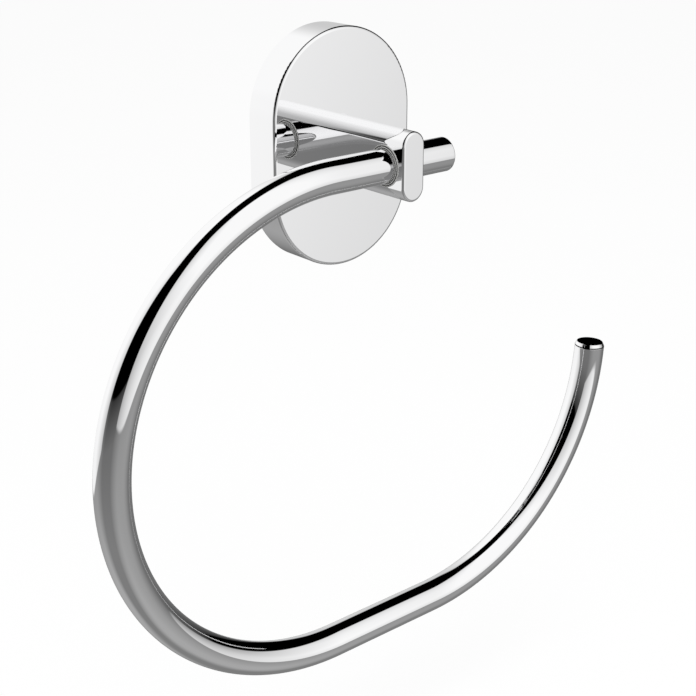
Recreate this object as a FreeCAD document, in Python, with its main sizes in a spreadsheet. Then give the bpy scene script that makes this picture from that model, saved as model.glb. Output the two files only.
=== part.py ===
import FreeCAD, Part
import math
import os
import re
import Sketcher

# Chromed towel ring for a wall.
# An open C of round tube passes through the head of a short arm.
# The arm stands on a hollow stadium cover that hangs on a wall bracket.
# Millimetres. The wall is the plane Y = 0, the ring stands off it towards -Y, +X is right and +Z is up.
# The origin is the middle of the bracket's back, on the wall.

SIZES = [
    ("cover_width", 51.0, "Wall cover, side to side"),
    ("cover_height", 71.0, "Wall cover, top to bottom"),
    ("cover_depth", 12.0, "Wall cover, wall to front face"),
    ("cover_rim_wall", 2.0, "Wall cover, thickness of its rim"),
    ("cover_front_wall", 2.2, "Wall cover, thickness of its front"),
    ("cover_front_edge", 0.9, "Wall cover, rounding of its front edge"),
    ("cover_back_edge", 0.3, "Wall cover, bevel of its back edge"),
    ("arm_width", 8.0, "Arm, side to side"),
    ("arm_height", 20.0, "Arm, top to bottom"),
    ("arm_length", 30.5, "Arm, cover face to head face"),
    ("arm_front_edge", 0.75, "Arm, rounding of its head edge"),
    ("tube_outside", 10.0, "Ring tube, outside diameter"),
    ("tube_wall", 1.0, "Ring tube, wall"),
    ("tube_end_edge", 0.12, "Ring tube, bevel at the capped end"),
    ("stub_end_edge", 0.4, "Ring tube, rounding at the stub end"),
    ("axis_from_wall", 34.5, "Tube axis, distance from the wall"),
    ("axis_drop", 0.4, "Tube axis, how far below the arm's middle"),
    ("stub_reach", 19.1, "Straight stub, arm's middle to its end"),
    ("lead_length", 23.0, "Straight lead, arm's middle to the first bend"),
    ("bend_radius", 74.0, "Both bends, radius of the tube's axis"),
    ("bottom_length", 40.0, "Straight bottom bar between the bends"),
    ("end_turn", 87.3, "Second bend, degrees from the bottom bar to the free end"),
    ("bush_outside", 11.1, "Bush, flange diameter"),
    ("bush_flange", 0.3, "Bush, flange thickness"),
    ("bush_flange_edge", 0.1, "Bush, bevel of the flange"),
    ("bush_spigot", 10.8, "Bush, spigot diameter"),
    ("bush_spigot_length", 1.8, "Bush, spigot length"),
    ("bush_groove_width", 0.12, "Bush, width of the groove round the tube"),
    ("bush_groove_depth", 0.2, "Bush, depth of the groove round the tube"),
    ("cap_height", 1.4, "End cap, height above the tube"),
    ("cap_taper", 0.6, "End cap, how far its side leans in, on the radius"),
    ("cap_edge", 0.15, "End cap, rounding of its top edge"),
    ("cap_seam", 0.15, "End cap, height of the seam between its cone and the tube"),
    ("cap_seam_depth", 0.3, "End cap, depth of that seam"),
    ("cap_spigot_length", 4.5, "End cap, length inside the tube"),
    ("plug_length", 5.0, "Stub plug, length inside the tube"),
    ("plug_inset", 0.3, "Stub plug, how far it sits inside the tube's end"),
    ("spigot_bevel", 0.5, "Cap and plug, lead-in bevel"),
    ("bracket_plate", 2.5, "Wall bracket, plate thickness"),
    ("bracket_depth", 8.5, "Wall bracket, wall to the edge of its lips"),
    ("bracket_lip", 2.2, "Wall bracket, lip thickness"),
    ("bracket_lip_gap", 36.0, "Wall bracket, open height between its lips"),
    ("bracket_waist", 30.0, "Wall bracket, width of its plate between the lips"),
    ("bracket_edge", 0.4, "Wall bracket, bevel of its back edge"),
    ("wall_hole_spacing", 40.0, "Wall screw slots, centre to centre"),
    ("wall_slot_width", 4.6, "Wall screw slots, width"),
    ("wall_slot_length", 8.0, "Wall screw slots, end to end"),
    ("arm_screw_spacing", 11.0, "Arm screws, centre to centre"),
    ("arm_screw_thread", 4.0, "Arm screws, thread diameter"),
    ("arm_screw_head", 7.0, "Arm screws, head diameter"),
    ("arm_screw_head_height", 2.6, "Arm screws, head height"),
    ("arm_screw_head_edge", 0.6, "Arm screws, rounding of the head"),
    ("arm_screw_bite", 7.0, "Arm screws, thread inside the arm"),
    ("arm_screw_tip", 0.5, "Arm screws, bevel at the tip"),
    ("arm_hole_reserve", 1.5, "Arm screw holes, depth beyond the screw"),
    ("arm_screw_key", 3.0, "Arm screws, hexagon socket across flats"),
    ("arm_screw_key_depth", 1.5, "Arm screws, depth of the socket"),
    ("washer_outside", 7.0, "Lock washers, outside diameter"),
    ("washer_thickness", 0.9, "Lock washers, thickness"),
    ("washer_split", 0.6, "Lock washers, width of the split"),
    ("grub_thread", 4.0, "Grub screws, thread diameter"),
    ("grub_tip", 0.4, "Grub screws, bevel of both ends"),
    ("grub_key", 2.0, "Grub screws, hexagon socket across flats"),
    ("grub_key_depth", 1.8, "Grub screws, depth of the socket"),
    ("grub_inset", 0.35, "Grub screws, how far the end sits below the surface"),
    ("cover_grub_from_wall", 5.5, "Cover grub screw, distance from the wall"),
    ("cover_grub_point", 2.4, "Cover grub screw, diameter of its locating point"),
    ("fit_clearance", 0.05, "Radial clearance of pressed and threaded pieces"),
    ("tube_clearance", 0.1, "Radial clearance round the tube in arm and bushes"),
    ("screw_hole_clearance", 0.25, "Radial clearance of screws in plain holes"),
    ("bracket_clearance", 0.3, "Gap between the bracket's lips and the cover"),
    ("cut_margin", 1.0, "How far a through cut runs past the surface"),
]

doc = FreeCAD.newDocument("TowelRing")
sheet = doc.addObject("Spreadsheet::Sheet", "Sizes")
for row, (alias, size, meaning) in enumerate(SIZES, start=1):
    sheet.set(f"A{row}", meaning)
    sheet.set(f"B{row}", str(size))
    sheet.setAlias(f"B{row}", alias)
doc.recompute()

ALIASES = {alias for alias, size, meaning in SIZES}
PIECES = []

# How a sketch numbers its own axes, its origin and the points of a line or arc.
HORIZONTAL_AXIS, VERTICAL_AXIS = range(-1, -3, -1)
ORIGIN_POINT = (-1, 1)
START, END, CENTRE = range(1, 4)

# How near two lengths must be, in mm, to count as the same.
SAME = 1e-3


def bound(formula):
    """Writes a formula in size names as an expression of the sheet."""
    return re.sub(r"[a-z_]+", lambda word: "Sizes." * (word[0] in ALIASES) + word[0], formula)


def value(formula):
    """The number that a formula in size names gives now."""
    return float(sheet.evalExpression(bound(formula)))


def new_piece(name, place=("0", "0", "0"), turn=None):
    """A body with its label and its place in the assembly."""
    body = doc.addObject("PartDesign::Body", name)
    body.Label = name
    if turn:
        body.Placement = FreeCAD.Placement(FreeCAD.Vector(), turn)
    for axis, formula in zip("xyz", place):
        body.setExpression(f"Placement.Base.{axis}", bound(formula))
    PIECES.append(body)
    return body


def new_sketch(body, name, plane, lift="0"):
    """An empty sketch on one of the body's own planes, lifted along the plane's normal."""
    sketch = body.newObject("Sketcher::SketchObject", name)
    role = plane + "_Plane"
    origin_plane = next(item for item in body.Origin.OriginFeatures if item.Role == role)
    sketch.AttachmentSupport = (origin_plane, [""])
    sketch.MapMode = "FlatFace"
    sketch.setExpression("AttachmentOffset.Base.z", bound(lift))
    return sketch


def set_size(sketch, kind, *parts, formula):
    """Adds a dimension that follows the sheet."""
    index = sketch.addConstraint(Sketcher.Constraint(kind, *parts, value(formula)))
    sketch.setExpression(f"Constraints[{index}]", bound(formula))


def pin_point(sketch, geometry, point, across, up):
    """Ties a point of the sketch to the origin; a coordinate of 0 puts it on the axis."""
    if across == "0":
        sketch.addConstraint(Sketcher.Constraint("PointOnObject", geometry, point, VERTICAL_AXIS))
    else:
        set_size(sketch, "DistanceX", *ORIGIN_POINT, geometry, point, formula=across)
    if up == "0":
        sketch.addConstraint(Sketcher.Constraint("PointOnObject", geometry, point, HORIZONTAL_AXIS))
    else:
        set_size(sketch, "DistanceY", *ORIGIN_POINT, geometry, point, formula=up)


def add_circle(sketch, diameter, across="0", up="0"):
    """A circle whose centre and diameter follow the sheet."""
    centre = FreeCAD.Vector(value(across), value(up), 0)
    radius = value(diameter) / 2
    circle = sketch.addGeometry(Part.Circle(centre, FreeCAD.Vector(0, 0, 1), radius), False)
    pin_point(sketch, circle, CENTRE, across, up)
    set_size(sketch, "Radius", circle, formula=f"({diameter}) / 2")


def add_polygon(sketch, corners):
    """A closed outline of straight lines through corners given as formulas."""
    points = [FreeCAD.Vector(value(across), value(up), 0) for across, up in corners]
    lines = []
    for index, point in enumerate(points):
        following = points[(index + 1) % len(points)]
        lines.append(sketch.addGeometry(Part.LineSegment(point, following), False))
    for index, line in enumerate(lines):
        following = lines[(index + 1) % len(lines)]
        sketch.addConstraint(Sketcher.Constraint("Coincident", line, END, following, START))
    for line, (across, up) in zip(lines, corners):
        pin_point(sketch, line, START, across, up)


def add_stadium(sketch, width, height, up="0"):
    """Two half circles and two upright lines, taller than wide, centred on the upright axis."""
    radius = value(width) / 2
    half = (value(height) - value(width)) / 2
    middle = value(up)
    normal = FreeCAD.Vector(0, 0, 1)
    top_circle = Part.Circle(FreeCAD.Vector(0, middle + half, 0), normal, radius)
    low_circle = Part.Circle(FreeCAD.Vector(0, middle - half, 0), normal, radius)
    top = sketch.addGeometry(Part.ArcOfCircle(top_circle, 0, math.pi), False)
    low = sketch.addGeometry(Part.ArcOfCircle(low_circle, math.pi, 2 * math.pi), False)
    left_top = FreeCAD.Vector(-radius, middle + half, 0)
    left_low = FreeCAD.Vector(-radius, middle - half, 0)
    right_low = FreeCAD.Vector(radius, middle - half, 0)
    right_top = FreeCAD.Vector(radius, middle + half, 0)
    left = sketch.addGeometry(Part.LineSegment(left_top, left_low), False)
    right = sketch.addGeometry(Part.LineSegment(right_low, right_top), False)
    sketch.addConstraint(Sketcher.Constraint("Tangent", top, END, left, START))
    sketch.addConstraint(Sketcher.Constraint("Tangent", left, END, low, START))
    sketch.addConstraint(Sketcher.Constraint("Tangent", low, END, right, START))
    sketch.addConstraint(Sketcher.Constraint("Tangent", right, END, top, START))
    sketch.addConstraint(Sketcher.Constraint("Equal", top, low))
    pin_point(sketch, top, CENTRE, "0", f"{up} + ({height} - {width}) / 2")
    pin_point(sketch, low, CENTRE, "0", f"{up} - ({height} - {width}) / 2")
    set_size(sketch, "Radius", top, formula=f"({width}) / 2")


def add_feature(body, kind, name, sketch, length=None, **settings):
    """A pad, pocket, revolution or groove of a sketch, with its length from the sheet."""
    feature = body.newObject(f"PartDesign::{kind}", name)
    feature.Profile = sketch
    for key, setting in settings.items():
        setattr(feature, key, setting)
    if length:
        feature.setExpression("Length", bound(length))
    sketch.Visibility = False
    return feature


def spin(body, kind, name, sketch, axis):
    """A full revolution or groove about one of the sketch's own axes."""
    return add_feature(body, kind, name, sketch, ReferenceAxis=(sketch, [axis]), Angle=360)


def break_edges(body, kind, name, size, wanted):
    """Rounds or bevels those edges of the body that the test picks."""
    doc.recompute()
    base = body.Tip
    picked = [f"Edge{number}" for number, edge in enumerate(base.Shape.Edges, start=1) if wanted(edge)]
    if not picked:
        raise RuntimeError(f"{name} of {body.Label} finds no edge")
    feature = body.newObject(f"PartDesign::{kind}", name)
    feature.Base = (base, picked)
    feature.setExpression("Radius" if kind == "Fillet" else "Size", bound(size))
    base.Visibility = False
    return feature


def lies_at(edge, axis, level):
    """True where the whole edge lies in the plane where that coordinate has that value."""
    box = edge.BoundBox
    low = getattr(box, axis + "Min")
    high = getattr(box, axis + "Max")
    return abs(low - level) < SAME and abs(high - level) < SAME


def is_circle(edge, radius):
    """True for a round edge of that radius."""
    return isinstance(edge.Curve, Part.Circle) and abs(edge.Curve.Radius - radius) < SAME


def hexagon(sketch, across_flats, up="0"):
    """A regular hexagon with two flats level."""
    half_flat = f"({across_flats}) / 2"
    corner = f"({across_flats}) / sqrt(3)"
    short = f"({across_flats}) / sqrt(12)"
    add_polygon(sketch, [
        (corner, up),
        (short, f"{up} + {half_flat}"),
        (f"0 - {short}", f"{up} + {half_flat}"),
        (f"0 - {corner}", up),
        (f"0 - {short}", f"{up} - {half_flat}"),
        (short, f"{up} - {half_flat}"),
    ])


def make_cover():
    """The hollow stadium cover: the only part of the head that touches the wall all round."""
    body = new_piece("wall_cover")
    outline = new_sketch(body, "CoverOutline", "XZ")
    add_stadium(outline, "cover_width", "cover_height")
    add_feature(body, "Pad", "CoverBlock", outline, "cover_depth")
    front = -value("cover_depth")
    break_edges(body, "Fillet", "CoverFrontEdge", "cover_front_edge",
                lambda edge: lies_at(edge, "Y", front))
    break_edges(body, "Chamfer", "CoverBackEdge", "cover_back_edge",
                lambda edge: lies_at(edge, "Y", 0))
    inside = new_sketch(body, "CoverInside", "XZ")
    add_stadium(inside, "(cover_width - 2 * cover_rim_wall)", "(cover_height - 2 * cover_rim_wall)")
    add_feature(body, "Pocket", "CoverHollow", inside, "cover_depth - cover_front_wall", Reversed=True)
    holes = new_sketch(body, "ArmScrewHoles", "XZ")
    for side in ("", "0 - "):
        add_circle(holes, "(arm_screw_thread + 2 * screw_hole_clearance)", up=f"{side}arm_screw_spacing / 2")
    add_feature(body, "Pocket", "ArmScrewDrilling", holes, "cover_depth + cut_margin", Reversed=True)
    grub = new_sketch(body, "GrubHole", "XY")
    add_circle(grub, "(grub_thread + 2 * fit_clearance)", up="0 - cover_grub_from_wall")
    add_feature(body, "Pocket", "GrubDrilling", grub, "cover_height")


def make_bracket():
    """The die-cast bracket: a waisted plate with a lip at each end that the cover slips over."""
    body = new_piece("wall_bracket")
    width = "(cover_width - 2 * cover_rim_wall - 2 * bracket_clearance)"
    height = "(cover_height - 2 * cover_rim_wall - 2 * bracket_clearance)"
    outline = new_sketch(body, "BracketOutline", "XZ")
    add_stadium(outline, width, height)
    add_feature(body, "Pad", "BracketBlock", outline, "bracket_depth")
    break_edges(body, "Chamfer", "BracketBackEdge", "bracket_edge",
                lambda edge: lies_at(edge, "Y", 0))
    hollow = new_sketch(body, "BracketInside", "XZ", "bracket_plate")
    add_stadium(hollow, f"({width} - 2 * bracket_lip)", f"({height} - 2 * bracket_lip)")
    add_feature(body, "Pocket", "BracketHollow", hollow, "bracket_depth", Reversed=True)
    sides = new_sketch(body, "BracketSides", "XZ")
    for side in ("", "0 - "):
        add_polygon(sides, [
            (f"{side}bracket_waist / 2", "0 - bracket_lip_gap / 2"),
            (f"{side}cover_width / 2", "0 - bracket_lip_gap / 2"),
            (f"{side}cover_width / 2", "bracket_lip_gap / 2"),
            (f"{side}bracket_waist / 2", "bracket_lip_gap / 2"),
        ])
    add_feature(body, "Pocket", "BracketWaist", sides, "bracket_depth + cut_margin", Reversed=True)
    slots = new_sketch(body, "WallScrewSlots", "XZ")
    for side in ("", "0 - "):
        add_stadium(slots, "wall_slot_width", "wall_slot_length", up=f"{side}wall_hole_spacing / 2")
    add_feature(body, "Pocket", "WallScrewCut", slots, "bracket_depth", Reversed=True)
    seat = new_sketch(body, "GrubSeat", "XY")
    add_circle(seat, "(cover_grub_point + 2 * screw_hole_clearance)", up="0 - cover_grub_from_wall")
    add_feature(body, "Pocket", "GrubSeatDrilling", seat, "cover_height")


def make_arm():
    """The solid arm with its cross bore, bush recesses and tapped holes."""
    body = new_piece("support_arm", ("0", "0 - cover_depth", "0"))
    outline = new_sketch(body, "ArmOutline", "XZ")
    add_stadium(outline, "arm_width", "arm_height")
    add_feature(body, "Pad", "ArmBlock", outline, "arm_length")
    front = -value("arm_length")
    break_edges(body, "Fillet", "ArmHeadEdge", "arm_front_edge",
                lambda edge: lies_at(edge, "Y", front))
    axis_in_arm = "0 - (axis_from_wall - cover_depth)"
    bore = new_sketch(body, "CrossBore", "YZ")
    add_circle(bore, "(tube_outside + 2 * tube_clearance)", across=axis_in_arm, up="0 - axis_drop")
    add_feature(body, "Pocket", "CrossBoreCut", bore, "arm_width + 2 * cut_margin", SideType="Symmetric")
    for side, lift, reverse in (("Right", "arm_width / 2", False), ("Left", "0 - arm_width / 2", True)):
        recess = new_sketch(body, f"{side}Recess", "YZ", lift)
        add_circle(recess, "(bush_spigot + 2 * fit_clearance)", across=axis_in_arm, up="0 - axis_drop")
        depth = "bush_spigot_length + fit_clearance"
        add_feature(body, "Pocket", f"{side}RecessCut", recess, depth, Reversed=reverse)
    taps = new_sketch(body, "ArmScrewTaps", "XZ")
    for side in ("", "0 - "):
        add_circle(taps, "(arm_screw_thread + 2 * fit_clearance)", up=f"{side}arm_screw_spacing / 2")
    add_feature(body, "Pocket", "ArmScrewTapping", taps, "arm_screw_bite + arm_hole_reserve", Reversed=True)
    grub = new_sketch(body, "TubeGrubTap", "XY", "0 - axis_drop")
    add_circle(grub, "(grub_thread + 2 * fit_clearance)", up=axis_in_arm)
    add_feature(body, "Pocket", "TubeGrubTapping", grub, "arm_height")


def make_ring():
    """The ring: one length of tube, straight through the arm, bent round twice to an open C."""
    body = new_piece("ring_tube", ("0", "0 - axis_from_wall", "0 - axis_drop"))
    path = new_sketch(body, "RingPath", "XZ")
    radius = value("bend_radius")
    low = -2 * radius
    first_x = -value("lead_length")
    second_x = first_x + value("bottom_length")
    turn = math.radians(value("end_turn"))
    normal = FreeCAD.Vector(0, 0, 1)
    start = FreeCAD.Vector(value("stub_reach"), 0, 0)
    first_centre = FreeCAD.Vector(first_x, -radius, 0)
    second_centre = FreeCAD.Vector(second_x, -radius, 0)
    first_circle = Part.Circle(first_centre, normal, radius)
    second_circle = Part.Circle(second_centre, normal, radius)
    lead = path.addGeometry(Part.LineSegment(start, FreeCAD.Vector(first_x, 0, 0)), False)
    bend = path.addGeometry(Part.ArcOfCircle(first_circle, math.pi / 2, 3 * math.pi / 2), False)
    bar_ends = (FreeCAD.Vector(first_x, low, 0), FreeCAD.Vector(second_x, low, 0))
    bar = path.addGeometry(Part.LineSegment(*bar_ends), False)
    rise = path.addGeometry(Part.ArcOfCircle(second_circle, -math.pi / 2, turn - math.pi / 2), False)
    path.addConstraint(Sketcher.Constraint("Coincident", lead, END, bend, START))
    path.addConstraint(Sketcher.Constraint("Coincident", bend, END, bar, START))
    path.addConstraint(Sketcher.Constraint("Coincident", bar, END, rise, START))
    pin_point(path, lead, START, "stub_reach", "0")
    pin_point(path, lead, END, "0 - lead_length", "0")
    pin_point(path, bend, CENTRE, "0 - lead_length", "0 - bend_radius")
    set_size(path, "DistanceX", *ORIGIN_POINT, bend, END, formula="0 - lead_length")
    pin_point(path, rise, CENTRE, "bottom_length - lead_length", "0 - bend_radius")
    pin_point(path, bar, END, "bottom_length - lead_length", "0 - 2 * bend_radius")
    end_across = "bottom_length - lead_length + bend_radius * sin(end_turn * 1 deg)"
    set_size(path, "DistanceX", *ORIGIN_POINT, rise, END, formula=end_across)
    section = new_sketch(body, "TubeSection", "YZ", "stub_reach")
    add_circle(section, "tube_outside")
    add_circle(section, "(tube_outside - 2 * tube_wall)")
    doc.recompute()
    tube = body.newObject("PartDesign::AdditivePipe", "BentTube")
    tube.Profile = section
    tube.Spine = (path, [])
    path.Visibility = False
    outside = value("tube_outside") / 2
    stub_end = value("stub_reach")
    free_end = FreeCAD.Vector(second_x + radius * math.sin(turn), 0, -radius - radius * math.cos(turn))
    break_edges(body, "Fillet", "StubEndEdge", "stub_end_edge",
                lambda edge: lies_at(edge, "X", stub_end) and is_circle(edge, outside))
    break_edges(body, "Chamfer", "FreeEndEdge", "tube_end_edge",
                lambda edge: is_circle(edge, outside) and (edge.Curve.Center - free_end).Length < SAME)


def make_bush(name, side, turn):
    """A flanged bush that lines the bore at one flank of the arm, with a dark groove round the tube."""
    place = (f"{side}arm_width / 2", "0 - axis_from_wall", "0 - axis_drop")
    body = new_piece(name, place, turn)
    inner = "(tube_outside / 2 + tube_clearance)"
    groove = f"({inner} + bush_groove_width)"
    profile = new_sketch(body, "BushProfile", "XZ")
    add_polygon(profile, [
        ("0 - bush_spigot_length", inner),
        ("0 - bush_spigot_length", "bush_spigot / 2"),
        ("0", "bush_spigot / 2"),
        ("0", "bush_outside / 2"),
        ("bush_flange - bush_flange_edge", "bush_outside / 2"),
        ("bush_flange", "bush_outside / 2 - bush_flange_edge"),
        ("bush_flange", groove),
        ("bush_flange - bush_groove_depth", groove),
        ("bush_flange - bush_groove_depth", inner),
    ])
    spin(body, "Revolution", "BushTurning", profile, "H_Axis")


def make_free_end_cap():
    """The cap of the free end: a short cone whose straight spigot clears the bend of the tube."""
    turn = "end_turn * 1 deg"
    across = f"bottom_length - lead_length + bend_radius * sin({turn})"
    height = f"0 - axis_drop - bend_radius - bend_radius * cos({turn})"
    body = new_piece("free_end_cap", (across, "0 - axis_from_wall", height))
    body.setExpression("Placement.Rotation.Axis.x", "0")
    body.setExpression("Placement.Rotation.Axis.y", "-1")
    body.setExpression("Placement.Rotation.Axis.z", "0")
    body.setExpression("Placement.Rotation.Angle", bound("(end_turn - 90) * 1 deg"))
    rim = "tube_outside / 2"
    bow = "cap_spigot_length * cap_spigot_length / (2 * bend_radius)"
    spigot = f"(tube_outside / 2 - tube_wall - fit_clearance - {bow})"
    profile = new_sketch(body, "CapProfile", "XZ")
    add_polygon(profile, [
        ("0", "0 - cap_spigot_length"),
        (f"{spigot} - spigot_bevel", "0 - cap_spigot_length"),
        (spigot, "0 - cap_spigot_length + spigot_bevel"),
        (spigot, "0"),
        (f"{rim} - cap_seam_depth", "0"),
        (f"{rim} - cap_seam_depth", "cap_seam"),
        (rim, "cap_seam"),
        (f"{rim} - cap_taper", "cap_height"),
        ("0", "cap_height"),
    ])
    spin(body, "Revolution", "CapTurning", profile, "V_Axis")
    top = value("cap_height")
    break_edges(body, "Fillet", "CapTopEdge", "cap_edge",
                lambda edge: lies_at(edge, "Z", top) and isinstance(edge.Curve, Part.Circle))


def make_stub_plug():
    """The plug that closes the stub, just inside its rounded end."""
    body = new_piece("stub_end_plug", ("stub_reach - plug_inset", "0 - axis_from_wall", "0 - axis_drop"))
    radius = "(tube_outside / 2 - tube_wall - fit_clearance)"
    profile = new_sketch(body, "PlugProfile", "XZ")
    add_polygon(profile, [
        ("0", "0"),
        ("0", radius),
        ("spigot_bevel - plug_length", radius),
        ("0 - plug_length", f"{radius} - spigot_bevel"),
        ("0 - plug_length", "0"),
    ])
    spin(body, "Revolution", "PlugTurning", profile, "H_Axis")


def make_arm_screw(name, side):
    """A socket screw that pulls the arm against the cover from inside."""
    inner_face = "cover_depth - cover_front_wall"
    place = ("0", f"0 - ({inner_face} - washer_thickness)", f"{side}arm_screw_spacing / 2")
    body = new_piece(name, place)
    shank = "arm_screw_thread / 2"
    reach = "(washer_thickness + cover_front_wall + arm_screw_bite)"
    profile = new_sketch(body, "ScrewProfile", "XY")
    add_polygon(profile, [
        ("0", "arm_screw_head_height"),
        ("arm_screw_head / 2 - arm_screw_head_edge", "arm_screw_head_height"),
        ("arm_screw_head / 2", "arm_screw_head_height - arm_screw_head_edge"),
        ("arm_screw_head / 2", "0"),
        (shank, "0"),
        (shank, f"arm_screw_tip - {reach}"),
        (f"{shank} - arm_screw_tip", f"0 - {reach}"),
        ("0", f"0 - {reach}"),
    ])
    spin(body, "Revolution", "ScrewTurning", profile, "V_Axis")
    key = new_sketch(body, "ScrewKey", "XZ", "0 - arm_screw_head_height")
    hexagon(key, "arm_screw_key")
    add_feature(body, "Pocket", "ScrewSocket", key, "arm_screw_key_depth", Reversed=True)


def make_lock_washer(name, side):
    """A split washer between the head of an arm screw and the cover's front wall."""
    place = ("0", "0 - (cover_depth - cover_front_wall)", f"{side}arm_screw_spacing / 2")
    body = new_piece(name, place)
    outline = new_sketch(body, "WasherOutline", "XZ", "0 - washer_thickness")
    add_circle(outline, "washer_outside")
    add_circle(outline, "(arm_screw_thread + 2 * screw_hole_clearance)")
    add_feature(body, "Pad", "WasherDisc", outline, "washer_thickness")
    split = new_sketch(body, "WasherSplit", "XZ", "0 - washer_thickness - cut_margin")
    add_polygon(split, [
        ("0 - washer_split / 2", "0"),
        ("washer_split / 2", "0"),
        ("washer_split / 2", "washer_outside"),
        ("0 - washer_split / 2", "washer_outside"),
    ])
    add_feature(body, "Pocket", "WasherCut", split, "washer_thickness + 2 * cut_margin", Reversed=True)


def make_tube_grub():
    """The grub screw under the arm's head that holds the tube still."""
    under_tube = "(tube_outside / 2 + fit_clearance)"
    body = new_piece("tube_grub_screw", ("0", "0 - axis_from_wall", f"0 - axis_drop - {under_tube}"))
    length = f"(arm_height / 2 - axis_drop - {under_tube} - grub_inset)"
    radius = "grub_thread / 2"
    profile = new_sketch(body, "GrubProfile", "XZ")
    add_polygon(profile, [
        ("0", "0"),
        (f"{radius} - grub_tip", "0"),
        (radius, "0 - grub_tip"),
        (radius, f"grub_tip - {length}"),
        (f"{radius} - grub_tip", f"0 - {length}"),
        ("0", f"0 - {length}"),
    ])
    spin(body, "Revolution", "GrubTurning", profile, "V_Axis")
    key = new_sketch(body, "GrubKey", "XY", f"0 - {length}")
    hexagon(key, "grub_key")
    add_feature(body, "Pocket", "GrubSocket", key, "grub_key_depth", Reversed=True)


def make_cover_grub():
    """The grub screw under the cover; its point sits in the bracket's lower lip."""
    body = new_piece("cover_grub_screw", ("0", "0 - cover_grub_from_wall", "grub_inset - cover_height / 2"))
    radius = "grub_thread / 2"
    point = "cover_grub_point / 2"
    thread = "(cover_rim_wall - grub_inset)"
    reach = "(cover_rim_wall - grub_inset + bracket_clearance + bracket_lip)"
    profile = new_sketch(body, "GrubProfile", "XZ")
    add_polygon(profile, [
        ("0", "0"),
        (f"{radius} - grub_tip", "0"),
        (radius, "grub_tip"),
        (radius, thread),
        (point, thread),
        (point, f"{reach} - grub_tip"),
        (f"{point} - grub_tip", reach),
        ("0", reach),
    ])
    spin(body, "Revolution", "GrubTurning", profile, "V_Axis")
    key = new_sketch(body, "GrubKey", "XY")
    hexagon(key, "grub_key")
    add_feature(body, "Pocket", "GrubSocket", key, "grub_key_depth", Reversed=True)


def check_document():
    """Stops where a feature failed or a piece is empty or broken."""
    for item in doc.Objects:
        if "Invalid" in item.State or "Error" in item.State:
            raise RuntimeError(f"{item.Label} did not compute: {item.State}")
    for piece in PIECES:
        if piece.Shape.isNull() or not piece.Shape.isValid() or len(piece.Shape.Solids) != 1:
            raise RuntimeError(f"{piece.Label} is not one sound solid")


def write_parts():
    """Writes each piece to a file named after it."""
    os.makedirs("parts", exist_ok=True)
    for piece in PIECES:
        piece.Shape.exportStep(f"parts/{piece.Label}.step")
        print(f"{piece.Label}: {piece.Shape.Volume:.1f} mm3")


def build():
    """Makes every piece, from the wall outwards."""
    make_bracket()
    make_cover()
    make_cover_grub()
    for name, side in (("upper", ""), ("lower", "0 - ")):
        make_lock_washer(f"lock_washer_{name}", side)
        make_arm_screw(f"arm_screw_{name}", side)
    make_arm()
    make_bush("flank_bush_right", "", None)
    half_turn = FreeCAD.Rotation(FreeCAD.Vector(0, 0, 1), 180)
    make_bush("flank_bush_left", "0 - ", half_turn)
    make_ring()
    make_free_end_cap()
    make_stub_plug()
    make_tube_grub()
    doc.recompute()
    check_document()
    write_parts()


build()
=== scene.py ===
"""Looks of a chromed wall towel ring: an open ring of tube through the head of a flat arm on a stadium cover.

Metres. The wall is the plane Y = 0, the ring stands off it towards -Y, +X is right and +Z is up.
"""

import math

import bpy
from bpy.props import FloatProperty, FloatVectorProperty, IntProperty, PointerProperty
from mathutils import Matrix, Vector


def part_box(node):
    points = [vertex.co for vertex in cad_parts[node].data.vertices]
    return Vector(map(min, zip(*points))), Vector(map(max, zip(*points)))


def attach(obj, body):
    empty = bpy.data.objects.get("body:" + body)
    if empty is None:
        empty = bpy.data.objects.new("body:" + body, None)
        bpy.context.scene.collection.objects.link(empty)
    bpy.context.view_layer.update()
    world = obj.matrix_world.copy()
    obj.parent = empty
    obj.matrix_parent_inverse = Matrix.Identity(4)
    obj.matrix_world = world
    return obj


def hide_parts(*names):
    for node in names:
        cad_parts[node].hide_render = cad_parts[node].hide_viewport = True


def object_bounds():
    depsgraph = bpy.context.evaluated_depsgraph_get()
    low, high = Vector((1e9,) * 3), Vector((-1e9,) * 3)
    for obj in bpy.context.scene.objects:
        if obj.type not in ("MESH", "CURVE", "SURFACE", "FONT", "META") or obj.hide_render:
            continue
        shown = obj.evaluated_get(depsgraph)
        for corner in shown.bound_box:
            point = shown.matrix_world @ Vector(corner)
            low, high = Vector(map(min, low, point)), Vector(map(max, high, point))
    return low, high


bl_info = {
    "name": "Towel Ring",
    "version": (1, 0, 0),
    "blender": (4, 5, 0),
    "location": "3D View > Sidebar > Towel Ring",
    "description": "Dresses a wall towel ring and sets it in a plain studio",
    "category": "Object",
}

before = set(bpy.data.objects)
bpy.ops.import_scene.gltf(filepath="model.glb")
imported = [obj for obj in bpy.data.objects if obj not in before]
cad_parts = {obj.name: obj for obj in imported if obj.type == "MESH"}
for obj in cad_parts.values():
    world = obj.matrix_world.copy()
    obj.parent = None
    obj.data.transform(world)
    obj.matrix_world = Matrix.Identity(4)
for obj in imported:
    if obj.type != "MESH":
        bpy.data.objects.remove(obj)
CAD_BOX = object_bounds()
BODY = "root"

MM = 0.001
SHARP_EDGE = math.radians(30)

# The tube's path: all but the end turn follows from the boxes of the CAD nodes

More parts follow.
